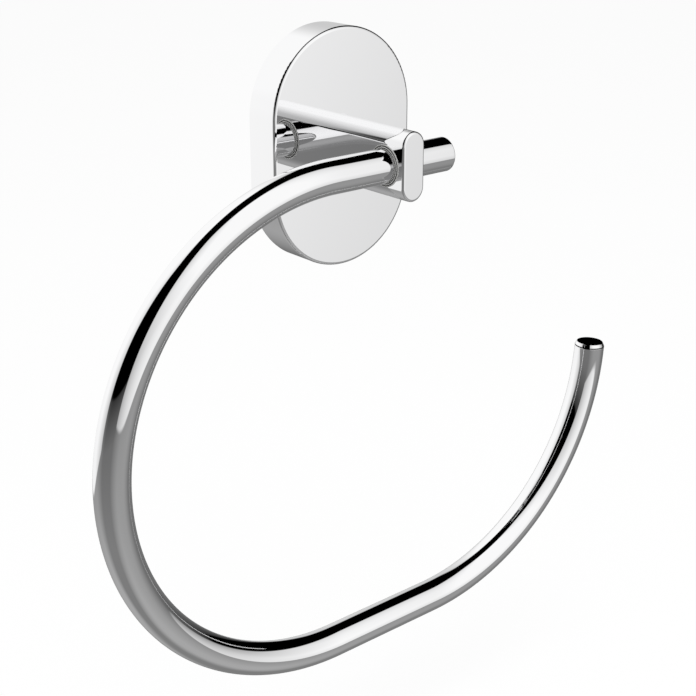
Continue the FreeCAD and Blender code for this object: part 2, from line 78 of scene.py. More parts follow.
TUBE_LOW, TUBE_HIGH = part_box("ring_tube")
PLUG_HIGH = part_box("stub_end_plug")[1]
TUBE_OUTSIDE = TUBE_HIGH.y - TUBE_LOW.y
BEND_RADIUS = (TUBE_HIGH.z - TUBE_LOW.z - TUBE_OUTSIDE) / 2
AXIS = Vector((0, (TUBE_LOW.y + TUBE_HIGH.y) / 2, TUBE_HIGH.z - TUBE_OUTSIDE / 2))
LEAD_LENGTH = -(TUBE_LOW.x + TUBE_OUTSIDE / 2 + BEND_RADIUS)
END_TURN = math.radians(87.3)
END_BEND_REACH = (BEND_RADIUS + TUBE_OUTSIDE / 2) * math.sin(END_TURN)
BOTTOM_LENGTH = TUBE_HIGH.x - END_BEND_REACH + LEAD_LENGTH
FREE_END_X = BOTTOM_LENGTH - LEAD_LENGTH + BEND_RADIUS * math.sin(END_TURN)
FREE_END_DROP = BEND_RADIUS * (1 + math.cos(END_TURN))
FREE_END = AXIS + Vector((FREE_END_X, 0, -FREE_END_DROP))
FREE_END_AIM = Vector((math.cos(END_TURN), 0, math.sin(END_TURN)))

# Polish: roughness at its smoothest and its roughest, and the height of its waves

CHROME_POLISH = {"smoothest": 0.01, "roughest": 0.035, "wave_height": 0.001 * MM}
ZINC_POLISH = {"smoothest": 0.2, "roughest": 0.34, "wave_height": 0.01 * MM}
STEEL_POLISH = {"smoothest": 0.24, "roughest": 0.38, "wave_height": 0.01 * MM}
# Painted shade: depth and colour of the dark band at the end cap's foot, standing in for the seam's shadow
CAP_SEAM_SHADE = 0.36 * MM
SEAM_SHADE_COLOUR = (0.02, 0.02, 0.02)
# Share of the nylon's colour left where shade is painted in the bushes' groove
GROOVE_SHADE = 0.03


# Sizes and colours


class RingTubeSettings(bpy.types.PropertyGroup):
    """Sizes of the bent tube."""

    outside: FloatProperty(
        name="Outside", description="Outside diameter of the tube", default=TUBE_OUTSIDE, unit="LENGTH"
    )
    wall: FloatProperty(name="Wall", description="Wall of the tube", default=1.0 * MM, unit="LENGTH")
    stub_inset: FloatProperty(
        name="Plug inset",
        description="How far the plug sits inside the stub",
        default=0.3 * MM,
        unit="LENGTH",
    )
    lead: FloatProperty(
        name="Lead",
        description="Straight tube from the arm's middle to the first bend",
        default=LEAD_LENGTH,
        unit="LENGTH",
    )
    bend: FloatProperty(
        name="Bend radius",
        description="Radius of both bends at the tube's axis",
        default=BEND_RADIUS,
        unit="LENGTH",
    )
    bottom: FloatProperty(
        name="Bottom bar", description="Straight bar between the bends", default=BOTTOM_LENGTH, unit="LENGTH"
    )
    end_turn: FloatProperty(
        name="End turn", description="Second bend up to the free end", default=END_TURN, unit="ROTATION"
    )
    rounding: FloatProperty(
        name="Stub rounding", description="Rounding of the stub's edge", default=0.4 * MM, unit="LENGTH"
    )
    bevel: FloatProperty(
        name="Free end bevel", description="Bevel of the capped edge", default=0.06 * MM, unit="LENGTH"
    )
    around: IntProperty(name="Faces round", description="Faces round the tube", default=96, min=12)
    along: IntProperty(
        name="Faces along", description="Faces along each wall of the tube", default=360, min=24
    )


class BushSettings(bpy.types.PropertyGroup):
    """Sizes of the two turned bushes, of which only the flanges show."""

    lip: FloatProperty(name="Lip", description="Diameter of the flange", default=12.1 * MM, unit="LENGTH")
    lip_reach: FloatProperty(
        name="Lip reach", description="Height of the flange over the flank", default=0.17 * MM, unit="LENGTH"
    )
    rim: FloatProperty(
        name="Rim", description="Diameter of the rim round the tube", default=10.9 * MM, unit="LENGTH"
    )
    rim_reach: FloatProperty(
        name="Rim reach", description="Height of the rim over the flank", default=0.3 * MM, unit="LENGTH"
    )
    groove: FloatProperty(
        name="Groove", description="Width of the groove between rim and lip", default=0.3 * MM, unit="LENGTH"
    )
    spigot: FloatProperty(
        name="Spigot", description="Diameter inside the arm", default=10.8 * MM, unit="LENGTH"
    )
    bore: FloatProperty(name="Bore", description="Diameter round the tube", default=10.2 * MM, unit="LENGTH")
    edge: FloatProperty(name="Edge", description="Bevel of rim and lip", default=0.07 * MM, unit="LENGTH")
    around: IntProperty(name="Faces round", description="Faces round each bush", default=192, min=12)


class PlatingSettings(bpy.types.PropertyGroup):
    """Colours of the metals and the nylon."""

    chrome: FloatVectorProperty(
        name="Chrome",
        description="Colour of the plating",
        subtype="COLOR",
        size=3,
        default=(0.975, 0.975, 0.98),
    )
    nylon: FloatVectorProperty(
        name="Nylon",
        description="Colour of the bushes",
        subtype="COLOR",
        size=3,
        default=(0.43, 0.43, 0.42),
    )
    cast: FloatVectorProperty(
        name="Cast zinc",
        description="Colour of the bracket",
        subtype="COLOR",
        size=3,
        default=(0.5, 0.51, 0.53),
    )
    zinc: FloatVectorProperty(
        name="Zinc plating",
        description="Colour of the arm screws and their washers",
        subtype="COLOR",
        size=3,
        default=(0.62, 0.64, 0.68),
    )
    steel: FloatVectorProperty(
        name="Stainless steel",
        description="Colour of the grub screws",
        subtype="COLOR",
        size=3,
        default=(0.56, 0.56, 0.57),
    )


class StudioSettings(bpy.types.PropertyGroup):
    """Camera, lamp, floor and the cards that the chrome mirrors."""

    camera_place: FloatVectorProperty(
        name="Camera",
        description="Place of the camera",
        subtype="TRANSLATION",
        size=3,
        default=(-0.25069, -0.31361, 0.08937),
    )
    camera_down: FloatProperty(
        name="Down",
        description="How far the camera looks down",
        default=math.radians(21.236),
        unit="ROTATION",
    )
    camera_right: FloatProperty(
        name="Right",
        description="How far the camera looks right",
        default=math.radians(39.904),
        unit="ROTATION",
    )
    lens: FloatProperty(
        name="Lens", description="Focal length on a 36 mm sensor", default=69.851, unit="CAMERA"
    )
    lamp_place: FloatVectorProperty(
        name="Lamp",
        description="Place of the soft box",
        subtype="TRANSLATION",
        size=3,
        default=(-0.25, -0.45, 1.1),
    )
    lamp_size: FloatProperty(name="Lamp size", description="Side of the soft box", default=0.9, unit="LENGTH")
    lamp_power: FloatProperty(
        name="Lamp power", description="Power of the soft box", default=9.0, unit="POWER"
    )
    floor_drop: FloatProperty(
        name="Floor drop", description="Floor below the ring's lowest point", default=40 * MM, unit="LENGTH"
    )
    floor_radius: FloatProperty(
        name="Floor radius", description="Radius of the floor", default=8.0, unit="LENGTH"
    )
    floor_colour: FloatVectorProperty(
        name="Floor",
        description="Colour of the floor",
        subtype="COLOR",
        size=3,
        default=(0.93, 0.93, 0.93),
    )
    floor_whiteness: FloatProperty(
        name="Floor whiteness",
        description="How far the floor is lifted to white where it is seen",
        default=0.88,
        min=0.0,
        max=1.0,
        subtype="FACTOR",
    )
    table_grey: FloatProperty(
        name="Table grey",
        description="Brightness of the grey card under the ring",
        default=0.2,
        min=0.0,
        max=1.0,
        subtype="FACTOR",
    )
    tent_radius: FloatProperty(
        name="Tent radius", description="Distance of the cards", default=4.0, unit="LENGTH"
    )


# Node building


def add_node(tree, kind, sockets=None, **settings):
    """Adds a node, sets its options, and links or sets its inputs."""
    node = tree.nodes.new(kind)
    for key, setting in settings.items():
        setattr(node, key, setting)
    for key, source in (sockets or {}).items():
        if isinstance(source, bpy.types.NodeSocket):
            tree.links.new(source, node.inputs[key])
        else:
            node.inputs[key].default_value = source
    return node


def calc(tree, operation, *terms):
    """One step of arithmetic on numbers or sockets."""
    return add_node(tree, "ShaderNodeMath", dict(enumerate(terms)), operation=operation).outputs[0]


def calc_vector(tree, operation, *terms, output=0):
    """One step of vector arithmetic on vectors or sockets."""
    return add_node(tree, "ShaderNodeVectorMath", dict(enumerate(terms)), operation=operation).outputs[output]


def product(tree, *terms):
    """All the terms multiplied."""
    result = terms[0]
    for term in terms[1:]:
        result = calc(tree, "MULTIPLY", result, term)
    return result


def one_less(tree, *losses):
    """1 less the losses, and never under 0."""
    rest = 1.0
    for amount in losses:
        rest = calc(tree, "SUBTRACT", rest, amount)
    return calc(tree, "MAXIMUM", rest, 0.0)


def ramp(tree, value, low, high, start=0.0, end=1.0, smooth=True):
    """Runs from start to end while the value runs from low to high, and stays there beyond."""
    kind = "SMOOTHSTEP" if smooth else "LINEAR"
    sockets = {"Value": value, "From Min": low, "From Max": high, "To Min": start, "To Max": end}
    return add_node(tree, "ShaderNodeMapRange", sockets, interpolation_type=kind).outputs["Result"]


def blend(tree, factor, first, second):
    """Runs from the first colour to the second with the factor; each is red, green and blue."""
    sockets = {"Factor": factor, "A": (*first, 1), "B": (*second, 1)}
    return add_node(tree, "ShaderNodeMix", sockets, data_type="RGBA").outputs["Result"]


def object_place(tree):
    """The place on the piece, in Object coordinates."""
    return add_node(tree, "ShaderNodeTexCoord").outputs["Object"]


def seen_directly(tree):
    """1 where the camera, a mirror or a glass looks straight at the surface, and 0 for soft light."""
    path = add_node(tree, "ShaderNodeLightPath").outputs
    direct = calc(tree, "MAXIMUM", path["Is Camera Ray"], path["Is Glossy Ray"])
    return calc(tree, "MAXIMUM", direct, path["Is Transmission Ray"])


def float_inputs(*names):
    """Interface rows for plain numbers without a default."""
    return [(name, "NodeSocketFloat", None) for name in names]


def new_group(kind, name, inputs, outputs):
    """An empty node group with named sockets; returns the tree, its input sockets and its output node."""
    tree = bpy.data.node_groups.new(name, kind)
    for socket, socket_type, default in inputs:
        made = tree.interface.new_socket(socket, in_out="INPUT", socket_type=socket_type)
        if default is not None:
            made.default_value = default
    for socket, socket_type in outputs:
        tree.interface.new_socket(socket, in_out="OUTPUT", socket_type=socket_type)
    return tree, tree.nodes.new("NodeGroupInput").outputs, tree.nodes.new("NodeGroupOutput")


def place_group(tree, group, sockets):
    """Places a node group in a tree, in the group's own kind of node."""
    kind = "ShaderNodeGroup" if tree.bl_idname == "ShaderNodeTree" else "GeometryNodeGroup"
    return add_node(tree, kind, sockets, node_tree=group)


# Mesh building


def steps_round(count):
    """Angles of that many even steps round a circle."""
    return [2 * math.pi * step / count for step in range(count)]


def link_mesh(name, vertices, faces):
    """Makes an object of these points and faces and puts it in the scene."""
    mesh = bpy.data.meshes.new(name)
    mesh.from_pydata(vertices, [], faces)
    made = bpy.data.objects.new(name, mesh)
    bpy.context.scene.collection.objects.link(made)
    return made


# Finishes


def polish_group():
    """How polish varies over plated metal: hairlines, cloudy patches and the buffed base's faint waves."""
    name = "Polish"
    if name in bpy.data.node_groups:
        return bpy.data.node_groups[name]
    inputs = [
        ("Vector", "NodeSocketVector", None),
        ("Smoothest", "NodeSocketFloat", 0.03),
        ("Roughest", "NodeSocketFloat", 0.07),
        ("Cloud Scale", "NodeSocketFloat", 90.0),
        ("Hairline Scale", "NodeSocketFloat", 2500.0),
        ("Wave Scale", "NodeSocketFloat", 60.0),
    ]
    outputs = [("Roughness", "NodeSocketFloat"), ("Height", "NodeSocketFloat")]
    tree, given, result = new_group("ShaderNodeTree", name, inputs, outputs)

    def noise(place, scale, detail):
        """Soft noise with its own scale."""
        sockets = {"Vector": place, "Scale": given[scale], "Detail": detail}
        return add_node(tree, "ShaderNodeTexNoise", sockets).outputs["Fac"]

    drawn = calc_vector(tree, "MULTIPLY", given["Vector"], (0.04, 1.0, 1.0))
    hairline = ramp(tree, noise(drawn, "Hairline Scale", 2.0), 0.56, 0.72)
    cloud = ramp(tree, noise(given["Vector"], "Cloud Scale", 4.0), 0.35, 0.7, end=0.7)
    wear = calc(tree, "MULTIPLY_ADD", hairline, 0.3, cloud)
    rise = calc(tree, "SUBTRACT", given["Roughest"], given["Smoothest"])
    rough = calc(tree, "MULTIPLY_ADD", wear, rise, given["Smoothest"])
    tree.links.new(rough, result.inputs["Roughness"])
    tree.links.new(noise(given["Vector"], "Wave Scale", 1.0), result.inputs["Height"])
    return tree


def new_finish(name, colour, metallic=1.0):
    """A plain material of one colour; returns it with its tree and its Principled BSDF."""
    material = bpy.data.materials.new(name)
    material.use_nodes = True
    tree = material.node_tree
    shader = tree.nodes["Principled BSDF"]
    shader.inputs["Base Color"].default_value = (*colour, 1)
    shader.inputs["Metallic"].default_value = metallic
    return material, tree, shader


def plated_metal(name, colour, smoothest, roughest, wave_height, along_tube=False):
    """Plated metal with the Polish group; on the tube its hairlines follow the bend."""
    if name in bpy.data.materials:
        return bpy.data.materials[name]
    material, tree, shader = new_finish(name, colour)
    place = add_node(tree, "ShaderNodeTexCoord").outputs["UV" if along_tube else "Object"]
    sockets = {"Vector": place, "Smoothest": smoothest, "Roughest": roughest}
    polish = place_group(tree, polish_group(), sockets)
    bump_sockets = {"Height": polish.outputs["Height"], "Distance": wave_height, "Strength": 1.0}
    bump = add_node(tree, "ShaderNodeBump", bump_sockets)
    tree.links.new(polish.outputs["Roughness"], shader.inputs["Roughness"])
    tree.links.new(bump.outputs["Normal"], shader.inputs["Normal"])
    return material


def paint_seam_shade(material, start, aim, depth):
    """Darkens a plated piece up to a depth along the aim from a start: painted shade in the seam at its foot.
    """
    tree = material.node_tree
    colour = tree.nodes["Principled BSDF"].inputs["Base Color"]
    along = calc_vector(tree, "DOT_PRODUCT", object_place(tree), aim, output="Value")
    height = calc(tree, "SUBTRACT", along, start.dot(aim))
    above_seam_shade = ramp(tree, height, depth, 1.15 * depth)
    tree.links.new(blend(tree, above_seam_shade, SEAM_SHADE_COLOUR, tuple(colour.default_value)[:3]), colour)


def thread_group():
    """A screw thread round an axis: its ridges, and a mask that keeps it off the ends and the head."""
    name = "Screw Thread"
    if name in bpy.data.node_groups:
        return bpy.data.node_groups[name]
    inputs = [
        *float_inputs("Along", "Across", "Up"),
        ("Pitch", "NodeSocketFloat", 0.7 * MM),
        ("Core", "NodeSocketFloat", 1.9 * MM),
        ("Crest", "NodeSocketFloat", 2.1 * MM),
    ]
    outputs = [("Height", "NodeSocketFloat"), ("Mask", "NodeSocketFloat")]
    tree, given, result = new_group("ShaderNodeTree", name, inputs, outputs)
    turn = calc(tree, "DIVIDE", calc(tree, "ARCTAN2", given["Up"], given["Across"]), 2 * math.pi)
    pitches = calc(tree, "DIVIDE", given["Along"], given["Pitch"])
    step = calc(tree, "FRACT", calc(tree, "ADD", pitches, turn))
    ridge = calc(tree, "SUBTRACT", 1.0, calc(tree, "ABSOLUTE", calc(tree, "MULTIPLY_ADD", step, 2.0, -1.0)))
    across_squared = calc(tree, "MULTIPLY", given["Across"], given["Across"])
    radius = calc(tree, "SQRT", calc(tree, "MULTIPLY_ADD", given["Up"], given["Up"], across_squared))
    inside = calc(tree, "LESS_THAN", radius, given["Crest"])
    mask = calc(tree, "MULTIPLY", inside, calc(tree, "GREATER_THAN", radius, given["Core"]))
    tree.links.new(ridge, result.inputs["Height"])
    tree.links.new(mask, result.inputs["Mask"])
    return tree


def threaded(material, node, along, across, up):
    """Adds the thread of a screw to its plated material; the letters name the axes along and across it."""
    low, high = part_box(node)
    middle = {letter: (getattr(low, letter) + getattr(high, letter)) / 2 for letter in (across, up)}
    middle[along] = 0.0
    tree = material.node_tree
    shader = tree.nodes["Principled BSDF"]
    place = add_node(tree, "ShaderNodeSeparateXYZ", {0: object_place(tree)}).outputs
    sockets = {
        name: calc(tree, "SUBTRACT", place[letter.upper()], middle[letter])
        for name, letter in {"Along": along, "Across": across, "Up": up}.items()
    }
    thread = place_group(tree, thread_group(), sockets)
    height = calc(tree, "MULTIPLY", thread.outputs["Height"], thread.outputs["Mask"])
    bump = add_node(tree, "ShaderNodeBump", {"Height": height, "Distance": 0.3 * MM, "Strength": 0.9})
    tree.links.new(shader.inputs["Normal"].links[0].from_socket, bump.inputs["Normal"])
    tree.links.new(bump.outputs["Normal"], shader.inputs["Normal"])
    return material


def nylon(name, colour):
    """Grey moulded nylon: a faint mottle under a soft satin skin."""
    material, tree, shader = new_finish(name, colour, metallic=0.0)
    sockets = {"Vector": object_place(tree), "Scale": 900.0, "Detail": 4.0}
    mottle = add_node(tree, "ShaderNodeTexNoise", sockets).outputs["Fac"]
    darker = [0.88 * part for part in colour]
    lighter = [1.12 * part for part in colour]
    bump = add_node(tree, "ShaderNodeBump", {"Height": mottle, "Distance": 0.01 * MM, "Strength": 0.5})
    tree.links.new(blend(tree, mottle, darker, lighter), shader.inputs["Base Color"])
    tree.links.new(ramp(tree, mottle, 0.3, 0.7, 0.38, 0.5), shader.inputs["Roughness"])
    tree.links.new(bump.outputs["Normal"], shader.inputs["Normal"])
    return material


def cast_metal(name, colour):
    """Raw die-cast zinc: a dull skin with faint flow marks and fine pits."""
    material, tree, shader = new_finish(name, colour)
    place = object_place(tree)
    flow_sockets = {"Vector": place, "Scale": 55.0, "Detail": 5.0, "Distortion": 1.4}
    flow = add_node(tree, "ShaderNodeTexNoise", flow_sockets).outputs["Fac"]
    pits = add_node(tree, "ShaderNodeTexVoronoi", {"Vector": place, "Scale": 1400.0}).outputs["Distance"]
    darker = [0.72 * part for part in colour]
    height = calc(tree, "MULTIPLY_ADD", pits, 0.5, flow)
    bump = add_node(tree, "ShaderNodeBump", {"Height": height, "Distance": 0.06 * MM, "Strength": 0.6})
    tree.links.new(blend(tree, ramp(tree, flow, 0.3, 0.7), darker, colour), shader.inputs["Base Color"])
    tree.links.new(ramp(tree, flow, 0.3, 0.7, 0.4, 0.55), shader.inputs["Roughness"])
    tree.links.new(bump.outputs["Normal"], shader.inputs["Normal"])
    return material


def dress(node, material):
    """Gives a CAD node its finish."""
    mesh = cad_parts[node].data
    mesh.materials.clear()
    mesh.materials.append(material)


# The bent tube, made by rule

PATH_SIZES = ("Stub Reach", "Lead Length", "Bend Radius", "Bottom Length", "End Turn")
STUB_STEPS = 12
BEVEL_STEPS = 1


def path_group():
    """Where the tube's axis is, and where it points, at a distance from the stub's end."""
    inputs = float_inputs("Distance", *PATH_SIZES)
    outputs = [("Position", "NodeSocketVector"), ("Sideways", "NodeSocketVector")]
    tree, given, result = new_group("GeometryNodeTree", "Ring Path", inputs, outputs)
    radius = given["Bend Radius"]

    def stretch(start, length):
        """How far along one stretch of the path the distance has come."""
        come = calc(tree, "MAXIMUM", calc(tree, "SUBTRACT", given["Distance"], start), 0.0)
        return calc(tree, "MINIMUM", come, length)

    straight = calc(tree, "ADD", given["Stub Reach"], given["Lead Length"])
    first_arc = calc(tree, "MULTIPLY", radius, math.pi)
    second_arc = calc(tree, "MULTIPLY", radius, given["End Turn"])
    bar_start = calc(tree, "ADD", straight, first_arc)
    rise_start = calc(tree, "ADD", bar_start, given["Bottom Length"])
    lead = stretch(0.0, straight)
    first = calc(tree, "DIVIDE", stretch(straight, first_arc), radius)
    bar = stretch(bar_start, given["Bottom Length"])
    second = calc(tree, "DIVIDE", stretch(rise_start, second_arc), radius)

    turned = calc(tree, "ADD", first, second)
    across = calc(tree, "SUBTRACT", calc(tree, "SINE", second), calc(tree, "SINE", first))
    rise = calc(tree, "SUBTRACT", calc(tree, "COSINE", first), calc(tree, "COSINE", second))
    x = calc(tree, "MULTIPLY_ADD", across, radius, calc(tree, "SUBTRACT", bar, lead))
    z = calc(tree, "MULTIPLY", rise, radius)
    place = add_node(tree, "ShaderNodeCombineXYZ", {"X": calc(tree, "ADD", x, given["Stub Reach"]), "Z": z})
    sideways_x = calc(tree, "MULTIPLY", calc(tree, "SINE", turned), -1.0)
    sideways = add_node(tree, "ShaderNodeCombineXYZ", {"X": sideways_x, "Z": calc(tree, "COSINE", turned)})
    tree.links.new(place.outputs[0], result.inputs["Position"])
    tree.links.new(sideways.outputs[0], result.inputs["Sideways"])
    return tree


def wall_outline(tree, size, index):
    """The outline of the tube's wall, drawn flat as distance along the axis against distance from it."""
    bends = calc(tree, "MULTIPLY", calc(tree, "ADD", size["End Turn"], math.pi), size["Bend Radius"])
    straight = calc(tree, "ADD", size["Stub Reach"], size["Lead Length"])
    length = calc(tree, "ADD", calc(tree, "ADD", straight, bends), size["Bottom Length"])
    outside = size["Outside Radius"]
    inside = calc(tree, "SUBTRACT", outside, size["Wall"])
    outline = add_node(tree, "GeometryNodeCurvePrimitiveQuadrilateral", mode="POINTS")
    corners = [(0.0, outside), (length, outside), (length, inside), (0.0, inside)]
    for number, (along, out) in enumerate(corners, start=1):
        corner = add_node(tree, "ShaderNodeCombineXYZ", {"X": along, "Y": out}).outputs[0]
        tree.links.new(corner, outline.inputs[f"Point {number}"])

    def index_is(number):
        """True at the outline's point with this number."""
        sockets = {2: index, 3: number}
        return add_node(tree, "FunctionNodeCompare", sockets, data_type="INT", operation="EQUAL").outputs[0]

    long_sides = add_node(tree, "FunctionNodeBooleanMath", {0: index_is(0), 1: index_is(2)}, operation="OR")
    cuts = calc(tree, "MULTIPLY", long_sides.outputs[0], size["Along"])
    divided = add_node(tree, "GeometryNodeSubdivideCurve", {"Curve": outline.outputs[0], "Cuts": cuts})
    at_free_corner = index_is(calc(tree, "ADD", size["Along"], 1.0))
    stub_rounding = calc(tree, "MULTIPLY", index_is(0), size["Stub Rounding"])
    rounding = calc(tree, "MULTIPLY_ADD", at_free_corner, size["Free End Bevel"], stub_rounding)
    steps = calc(tree, "MULTIPLY_ADD", at_free_corner, BEVEL_STEPS - STUB_STEPS, STUB_STEPS)
    rounded_sockets = {"Curve": divided.outputs[0], "Radius": rounding, "Count": steps}
    return add_node(tree, "GeometryNodeFilletCurve", rounded_sockets, mode="POLY").outputs[0]


def tube_tree():
    """Bends a hollow tube with a rounded stub end along the ring's path.

    A grid takes one row for each point of the wall's outline and one column for each step round the axis.
    """
    inputs = [
        *float_inputs("Outside Radius", "Wall", *PATH_SIZES, "Stub Rounding", "Free End Bevel"),
        ("Axis", "NodeSocketVector", None),
        ("Around", "NodeSocketInt", None),
        ("Along", "NodeSocketInt", None),
        ("Material", "NodeSocketMaterial", None),
    ]
    outputs = [("Geometry", "NodeSocketGeometry")]
    tree, size, result = new_group("GeometryNodeTree", "Bent Tube", inputs, outputs)
    index = add_node(tree, "GeometryNodeInputIndex").outputs[0]
    outline = wall_outline(tree, size, index)
    counted = add_node(tree, "GeometryNodeAttributeDomainSize", {0: outline}, component="CURVE")
    points = counted.outputs["Point Count"]

    columns = calc(tree, "ADD", size["Around"], 1.0)
    rows = calc(tree, "ADD", points, 1.0)
    grid = add_node(tree, "GeometryNodeMeshGrid", {"Vertices X": rows, "Vertices Y": columns})
    row = calc(tree, "FLOOR", calc(tree, "DIVIDE", calc(tree, "ADD", index, 0.5), columns))
    column = calc(tree, "SUBTRACT", index, calc(tree, "MULTIPLY", row, columns))
    point = calc(tree, "FLOORED_MODULO", row, points)
    sample = add_node(tree, "GeometryNodeSampleIndex", {0: outline}, data_type="FLOAT_VECTOR", domain="POINT")
    tree.links.new(add_node(tree, "GeometryNodeInputPosition").outputs[0], sample.inputs["Value"])
    tree.links.new(point, sample.inputs["Index"])
    drawn = add_node(tree, "ShaderNodeSeparateXYZ", {0: sample.outputs[0]})
    distance, out = drawn.outputs["X"], drawn.outputs["Y"]

    def scaled(vector, factor):
        """A vector made longer or shorter."""
        sockets = {0: vector, "Scale": factor}
        return add_node(tree, "ShaderNodeVectorMath", sockets, operation="SCALE").outputs[0]

    path_sockets = {"Distance": distance, **{name: size[name] for name in PATH_SIZES}}
    path = place_group(tree, path_group(), path_sockets)
    angle = calc(tree, "MULTIPLY", calc(tree, "DIVIDE", column, size["Around"]), 2 * math.pi)
    forward = scaled((0, -1, 0), calc(tree, "COSINE", angle))
    sideways = scaled(path.outputs["Sideways"], calc(tree, "SINE", angle))
    spoke = scaled(calc_vector(tree, "ADD", forward, sideways), out)
    centre = calc_vector(tree, "ADD", path.outputs["Position"], size["Axis"])
    bent_sockets = {"Geometry": grid.outputs["Mesh"], "Position": calc_vector(tree, "ADD", centre, spoke)}
    bent = add_node(tree, "GeometryNodeSetPosition", bent_sockets)

    way_round = calc(tree, "MULTIPLY", angle, size["Outside Radius"])
    unrolled = add_node(tree, "ShaderNodeCombineXYZ", {"X": distance, "Y": way_round})
    marked = add_node(
        tree,
        "GeometryNodeStoreNamedAttribute",
        {"Geometry": bent.outputs[0], "Name": "UVMap"},
        data_type="FLOAT2",
        domain="CORNER",
    )
    tree.links.new(unrolled.outputs[0], marked.inputs["Value"])
    closed_sockets = {"Geometry": marked.outputs[0], "Distance": 0.0001 * MM}
    closed = add_node(tree, "GeometryNodeMergeByDistance", closed_sockets)
    outward = add_node(tree, "GeometryNodeFlipFaces", {"Mesh": closed.outputs[0]})
    tree.links.new(finished(tree, outward.outputs[0], size["Material"]), result.inputs["Geometry"])
    return tree


def finished(tree, mesh, material):
    """Smooths a mesh but for its sharp edges, and ends its tree with real geometry and a material."""
    edge_angle = add_node(tree, "GeometryNodeInputMeshEdgeAngle").outputs["Unsigned Angle"]
    gentle = add_node(
        tree, "FunctionNodeCompare", {0: edge_angle, 1: SHARP_EDGE}, data_type="FLOAT", operation="LESS_THAN"
    )
    face_sockets = {"Geometry": mesh, "Shade Smooth": True}
    smooth_faces = add_node(tree, "GeometryNodeSetShadeSmooth", face_sockets, domain="FACE")
    edge_sockets = {"Geometry": smooth_faces.outputs[0], "Shade Smooth": gentle.outputs[0]}
    smooth_edges = add_node(tree, "GeometryNodeSetShadeSmooth", edge_sockets, domain="EDGE")
    realized = add_node(tree, "GeometryNodeRealizeInstances", {0: smooth_edges.outputs[0]})
    last_sockets = {"Geometry": realized.outputs[0], "Material": material}
    return add_node(tree, "GeometryNodeSetMaterial", last_sockets).outputs[0]


def grow(name, tree, values):
    """Runs a Geometry Nodes tree with these inputs and returns its result as a plain mesh object."""
    seed = bpy.data.objects.new(name + "_nodes", bpy.data.meshes.new(name + "_seed"))
    bpy.context.scene.collection.objects.link(seed)
    modifier = seed.modifiers.new("Shape", "NODES")
    modifier.node_group = tree
    for item in tree.interface.items_tree:
        if item.item_type == "SOCKET" and item.in_out == "INPUT":
            modifier[item.identifier] = values[item.name]
    bpy.context.view_layer.update()
    evaluated = seed.evaluated_get(bpy.context.evaluated_depsgraph_get())
    mesh = bpy.data.meshes.new_from_object(evaluated)
    if not mesh.polygons:
        raise RuntimeError(f"{name} has no faces")
    bpy.data.objects.remove(seed)
    mesh.name = name
    piece = bpy.data.objects.new(name, mesh)
    bpy.context.scene.collection.objects.link(piece)
    return piece


# The turned bushes

# Faces of plain nylon, and faces darkened as painted shade in the groove and on the rim's lower side
NYLON_FACE, SHADED_GROOVE_FACE = 0, 1
GROOVE_FLOOR = 0.2
GROOVE_SHADOW = 0.9


def bush_profile(size, spigot_end):
    """Radius, reach over the flank and finish at each corner of a bush, from the bore's inner end outwards;
    the finish is plain nylon or painted shade.

    The groove's floor is a share of the lip's reach, and its painted shadow covers a share of the rim's side.
    """
    bore, spigot, rim, lip = (diameter / 2 for diameter in (size.bore, size.spigot, size.rim, size.lip))
    floor = GROOVE_FLOOR * size.lip_reach
    shadow_top = floor + GROOVE_SHADOW * (size.rim_reach - size.edge - floor)
    return [
        (bore, spigot_end, NYLON_FACE),
        (spigot, spigot_end, NYLON_FACE),
        (spigot, 0, NYLON_FACE),
        (lip, 0, NYLON_FACE),
        (lip, size.lip_reach - size.edge, NYLON_FACE),
        (lip - size.edge, size.lip_reach, NYLON_FACE),
        (rim + size.groove, size.lip_reach, SHADED_GROOVE_FACE),
        (rim + size.groove, floor, SHADED_GROOVE_FACE),
        (rim, floor, SHADED_GROOVE_FACE),
        (rim, shadow_top, NYLON_FACE),
        (rim, size.rim_reach - size.edge, NYLON_FACE),
        (rim - size.edge, size.rim_reach, NYLON_FACE),
        (bore + size.edge, size.rim_reach, NYLON_FACE),
        (bore, size.rim_reach - size.edge, NYLON_FACE),
    ]


def turned_bush(name, side, size):
    """A bush turned round the ring's axis at one flank of the arm."""
    low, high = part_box("flank_bush_" + side)
    arm_low, arm_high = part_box("support_arm")
    on_right = side == "right"
    outward, flank, inner_end = (1, arm_high.x, low.x) if on_right else (-1, arm_low.x, high.x)
    profile = bush_profile(size, (inner_end - flank) * outward)
    turns = steps_round(size.around)
    vertices = [
        (flank + outward * reach, AXIS.y + radius * math.cos(turn), AXIS.z + radius * math.sin(turn))
        for turn in turns
        for radius, reach, _ in profile
    ]
    faces, finishes = [], []
    count = len(profile)
    for step in range(len(turns)):
        here, there = step * count, (step + 1) % len(turns) * count
        for point, (_, _, finish) in enumerate(profile):
            after = (point + 1) % count
            face = (here + point, here + after, there + after, there + point)
            faces.append(face[::-1] if on_right else face)
            finishes.append(finish)
    piece = link_mesh(name, vertices, faces)
    piece.data.polygons.foreach_set("material_index", finishes)
    piece.data.shade_smooth()
    piece.data.set_sharp_from_angle(angle=SHARP_EDGE)
    return piece


# The studio


